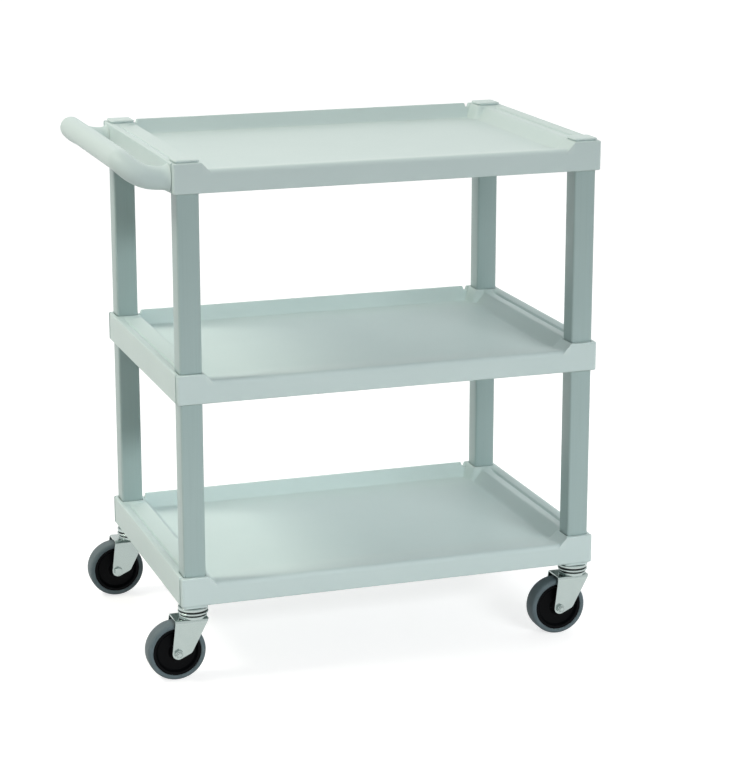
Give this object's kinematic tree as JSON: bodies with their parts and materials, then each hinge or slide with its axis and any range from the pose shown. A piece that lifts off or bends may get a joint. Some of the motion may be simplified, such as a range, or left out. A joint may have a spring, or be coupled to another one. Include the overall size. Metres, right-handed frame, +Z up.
{
  "type": "food service trolley",
  "caption": "Food service trolley with moulded tray shelves on square posts, a round push handle at one end and swivel casters with rubber tyres.",
  "frame": {"origin": "on the floor, under the middle of the whole object", "axes": "+Z up, -Y out of the low front lip, -X out of the end with the push handle"},
  "size_m": [0.835, 0.514, 0.8978],
  "materials": {
    "shelf_plastic": "fine-grained moulded polypropylene, pale grey-green",
    "post_plastic": "satin grey plastic",
    "black_nylon": "black nylon",
    "zinc_steel": "bright zinc plating on pressed steel",
    "core_plastic": "black moulded core",
    "grey_rubber": "grey non-marking rubber"
  },
  "bodies": {
    "trolley": {"top_shelf": "shelf_plastic", "middle_shelf": "shelf_plastic", "bottom_shelf": "shelf_plastic", "upper_post_front_left": "post_plastic", "upper_post_front_right": "post_plastic", "upper_post_back_left": "post_plastic", "upper_post_back_right": "post_plastic", "lower_post_front_left": "post_plastic", "lower_post_front_right": "post_plastic", "lower_post_back_left": "post_plastic", "lower_post_back_right": "post_plastic", "post_cap_front_left": "shelf_plastic", "post_cap_front_right": "shelf_plastic", "post_cap_back_left": "shelf_plastic", "post_cap_back_right": "shelf_plastic", "push_handle": "shelf_plastic", "handle_screw_front": "zinc_steel", "handle_screw_back": "zinc_steel", "stem_socket_front_left": "black_nylon", "stem_socket_front_right": "black_nylon", "stem_socket_back_left": "black_nylon", "stem_socket_back_right": "black_nylon", "caster_stem_front_left": "zinc_steel", "caster_stem_front_right": "zinc_steel", "caster_stem_back_left": "zinc_steel", "caster_stem_back_right": "zinc_steel"},
    "caster_front_left": {"fork_front_left": "zinc_steel", "ball_ring_front_left": "zinc_steel", "axle_bolt_front_left": "zinc_steel", "axle_nut_front_left": "zinc_steel", "axle_sleeve_front_left": "zinc_steel"},
    "caster_front_right": {"fork_front_right": "zinc_steel", "ball_ring_front_right": "zinc_steel", "axle_bolt_front_right": "zinc_steel", "axle_nut_front_right": "zinc_steel", "axle_sleeve_front_right": "zinc_steel"},
    "caster_back_left": {"fork_back_left": "zinc_steel", "ball_ring_back_left": "zinc_steel", "axle_bolt_back_left": "zinc_steel", "axle_nut_back_left": "zinc_steel", "axle_sleeve_back_left": "zinc_steel"},
    "caster_back_right": {"fork_back_right": "zinc_steel", "ball_ring_back_right": "zinc_steel", "axle_bolt_back_right": "zinc_steel", "axle_nut_back_right": "zinc_steel", "axle_sleeve_back_right": "zinc_steel"},
    "wheel_front_left": {"wheel_core_front_left": "core_plastic", "tyre_front_left": "grey_rubber"},
    "wheel_front_right": {"wheel_core_front_right": "core_plastic", "tyre_front_right": "grey_rubber"},
    "wheel_back_left": {"wheel_core_back_left": "core_plastic", "tyre_back_left": "grey_rubber"},
    "wheel_back_right": {"wheel_core_back_right": "core_plastic", "tyre_back_right": "grey_rubber"}
  },
  "joints": [
    {"name": "swivel_front_left", "type": "hinge", "parent": "trolley", "child": "caster_front_left", "pos_m": [-0.3015, -0.224, 0.1112], "axis": [0, 0, 1], "continuous": true},
    {"name": "swivel_front_right", "type": "hinge", "parent": "trolley", "child": "caster_front_right", "pos_m": [0.3915, -0.224, 0.1112], "axis": [0, 0, 1], "continuous": true},
    {"name": "swivel_back_left", "type": "hinge", "parent": "trolley", "child": "caster_back_left", "pos_m": [-0.3015, 0.224, 0.1112], "axis": [0, 0, 1], "continuous": true},
    {"name": "swivel_back_right", "type": "hinge", "parent": "trolley", "child": "caster_back_right", "pos_m": [0.3915, 0.224, 0.1112], "axis": [0, 0, 1], "continuous": true},
    {"name": "roll_front_left", "type": "hinge", "parent": "caster_front_left", "child": "wheel_front_left", "pos_m": [-0.3335, -0.224, 0.05017], "axis": [0, 1, 0], "continuous": true},
    {"name": "roll_front_right", "type": "hinge", "parent": "caster_front_right", "child": "wheel_front_right", "pos_m": [0.3595, -0.224, 0.05017], "axis": [0, 1, 0], "continuous": true},
    {"name": "roll_back_left", "type": "hinge", "parent": "caster_back_left", "child": "wheel_back_left", "pos_m": [-0.3335, 0.224, 0.05017], "axis": [0, 1, 0], "continuous": true},
    {"name": "roll_back_right", "type": "hinge", "parent": "caster_back_right", "child": "wheel_back_right", "pos_m": [0.3595, 0.224, 0.05017], "axis": [0, 1, 0], "continuous": true}
  ]
}
